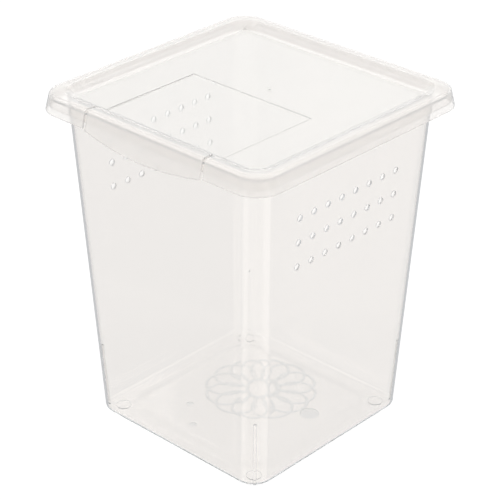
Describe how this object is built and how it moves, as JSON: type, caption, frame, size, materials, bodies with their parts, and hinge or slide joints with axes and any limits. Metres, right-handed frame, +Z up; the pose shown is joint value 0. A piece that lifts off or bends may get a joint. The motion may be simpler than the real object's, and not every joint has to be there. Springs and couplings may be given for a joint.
{
  "type": "pet keeper",
  "caption": "Clear tapered square tub with rounded corners and side air holes, under a raised-border lid whose front flap swings open on a living hinge.",
  "frame": {"origin": "middle of the tub's base, at the level of the undersides of its four feet", "axes": "+Z up, -Y to the side where the flap opens, +X to the right seen from that side"},
  "size_m": [0.2, 0.2016, 0.2438],
  "materials": {
    "tub_plastic": "clear moulded polystyrene, polished, colourless",
    "lid_plastic": "natural milky polypropylene, see-through with a slight haze, satin gloss"
  },
  "bodies": {
    "tub": {"tub": "tub_plastic"},
    "lid": {"lid": "lid_plastic", "living_hinge": "lid_plastic"},
    "hatch": {"hatch": "lid_plastic"}
  },
  "joints": [
    {"name": "lid_lift", "type": "slide", "parent": "tub", "child": "lid", "axis": [0, 0, 1], "range_m": [0, 0.06]},
    {"name": "hatch_hinge", "type": "hinge", "parent": "lid", "child": "hatch", "pos_m": [0, 0, 0.23839], "axis": [-1, 0, 0], "range_deg": [0, 170], "deforming": ["living_hinge"]}
  ]
}
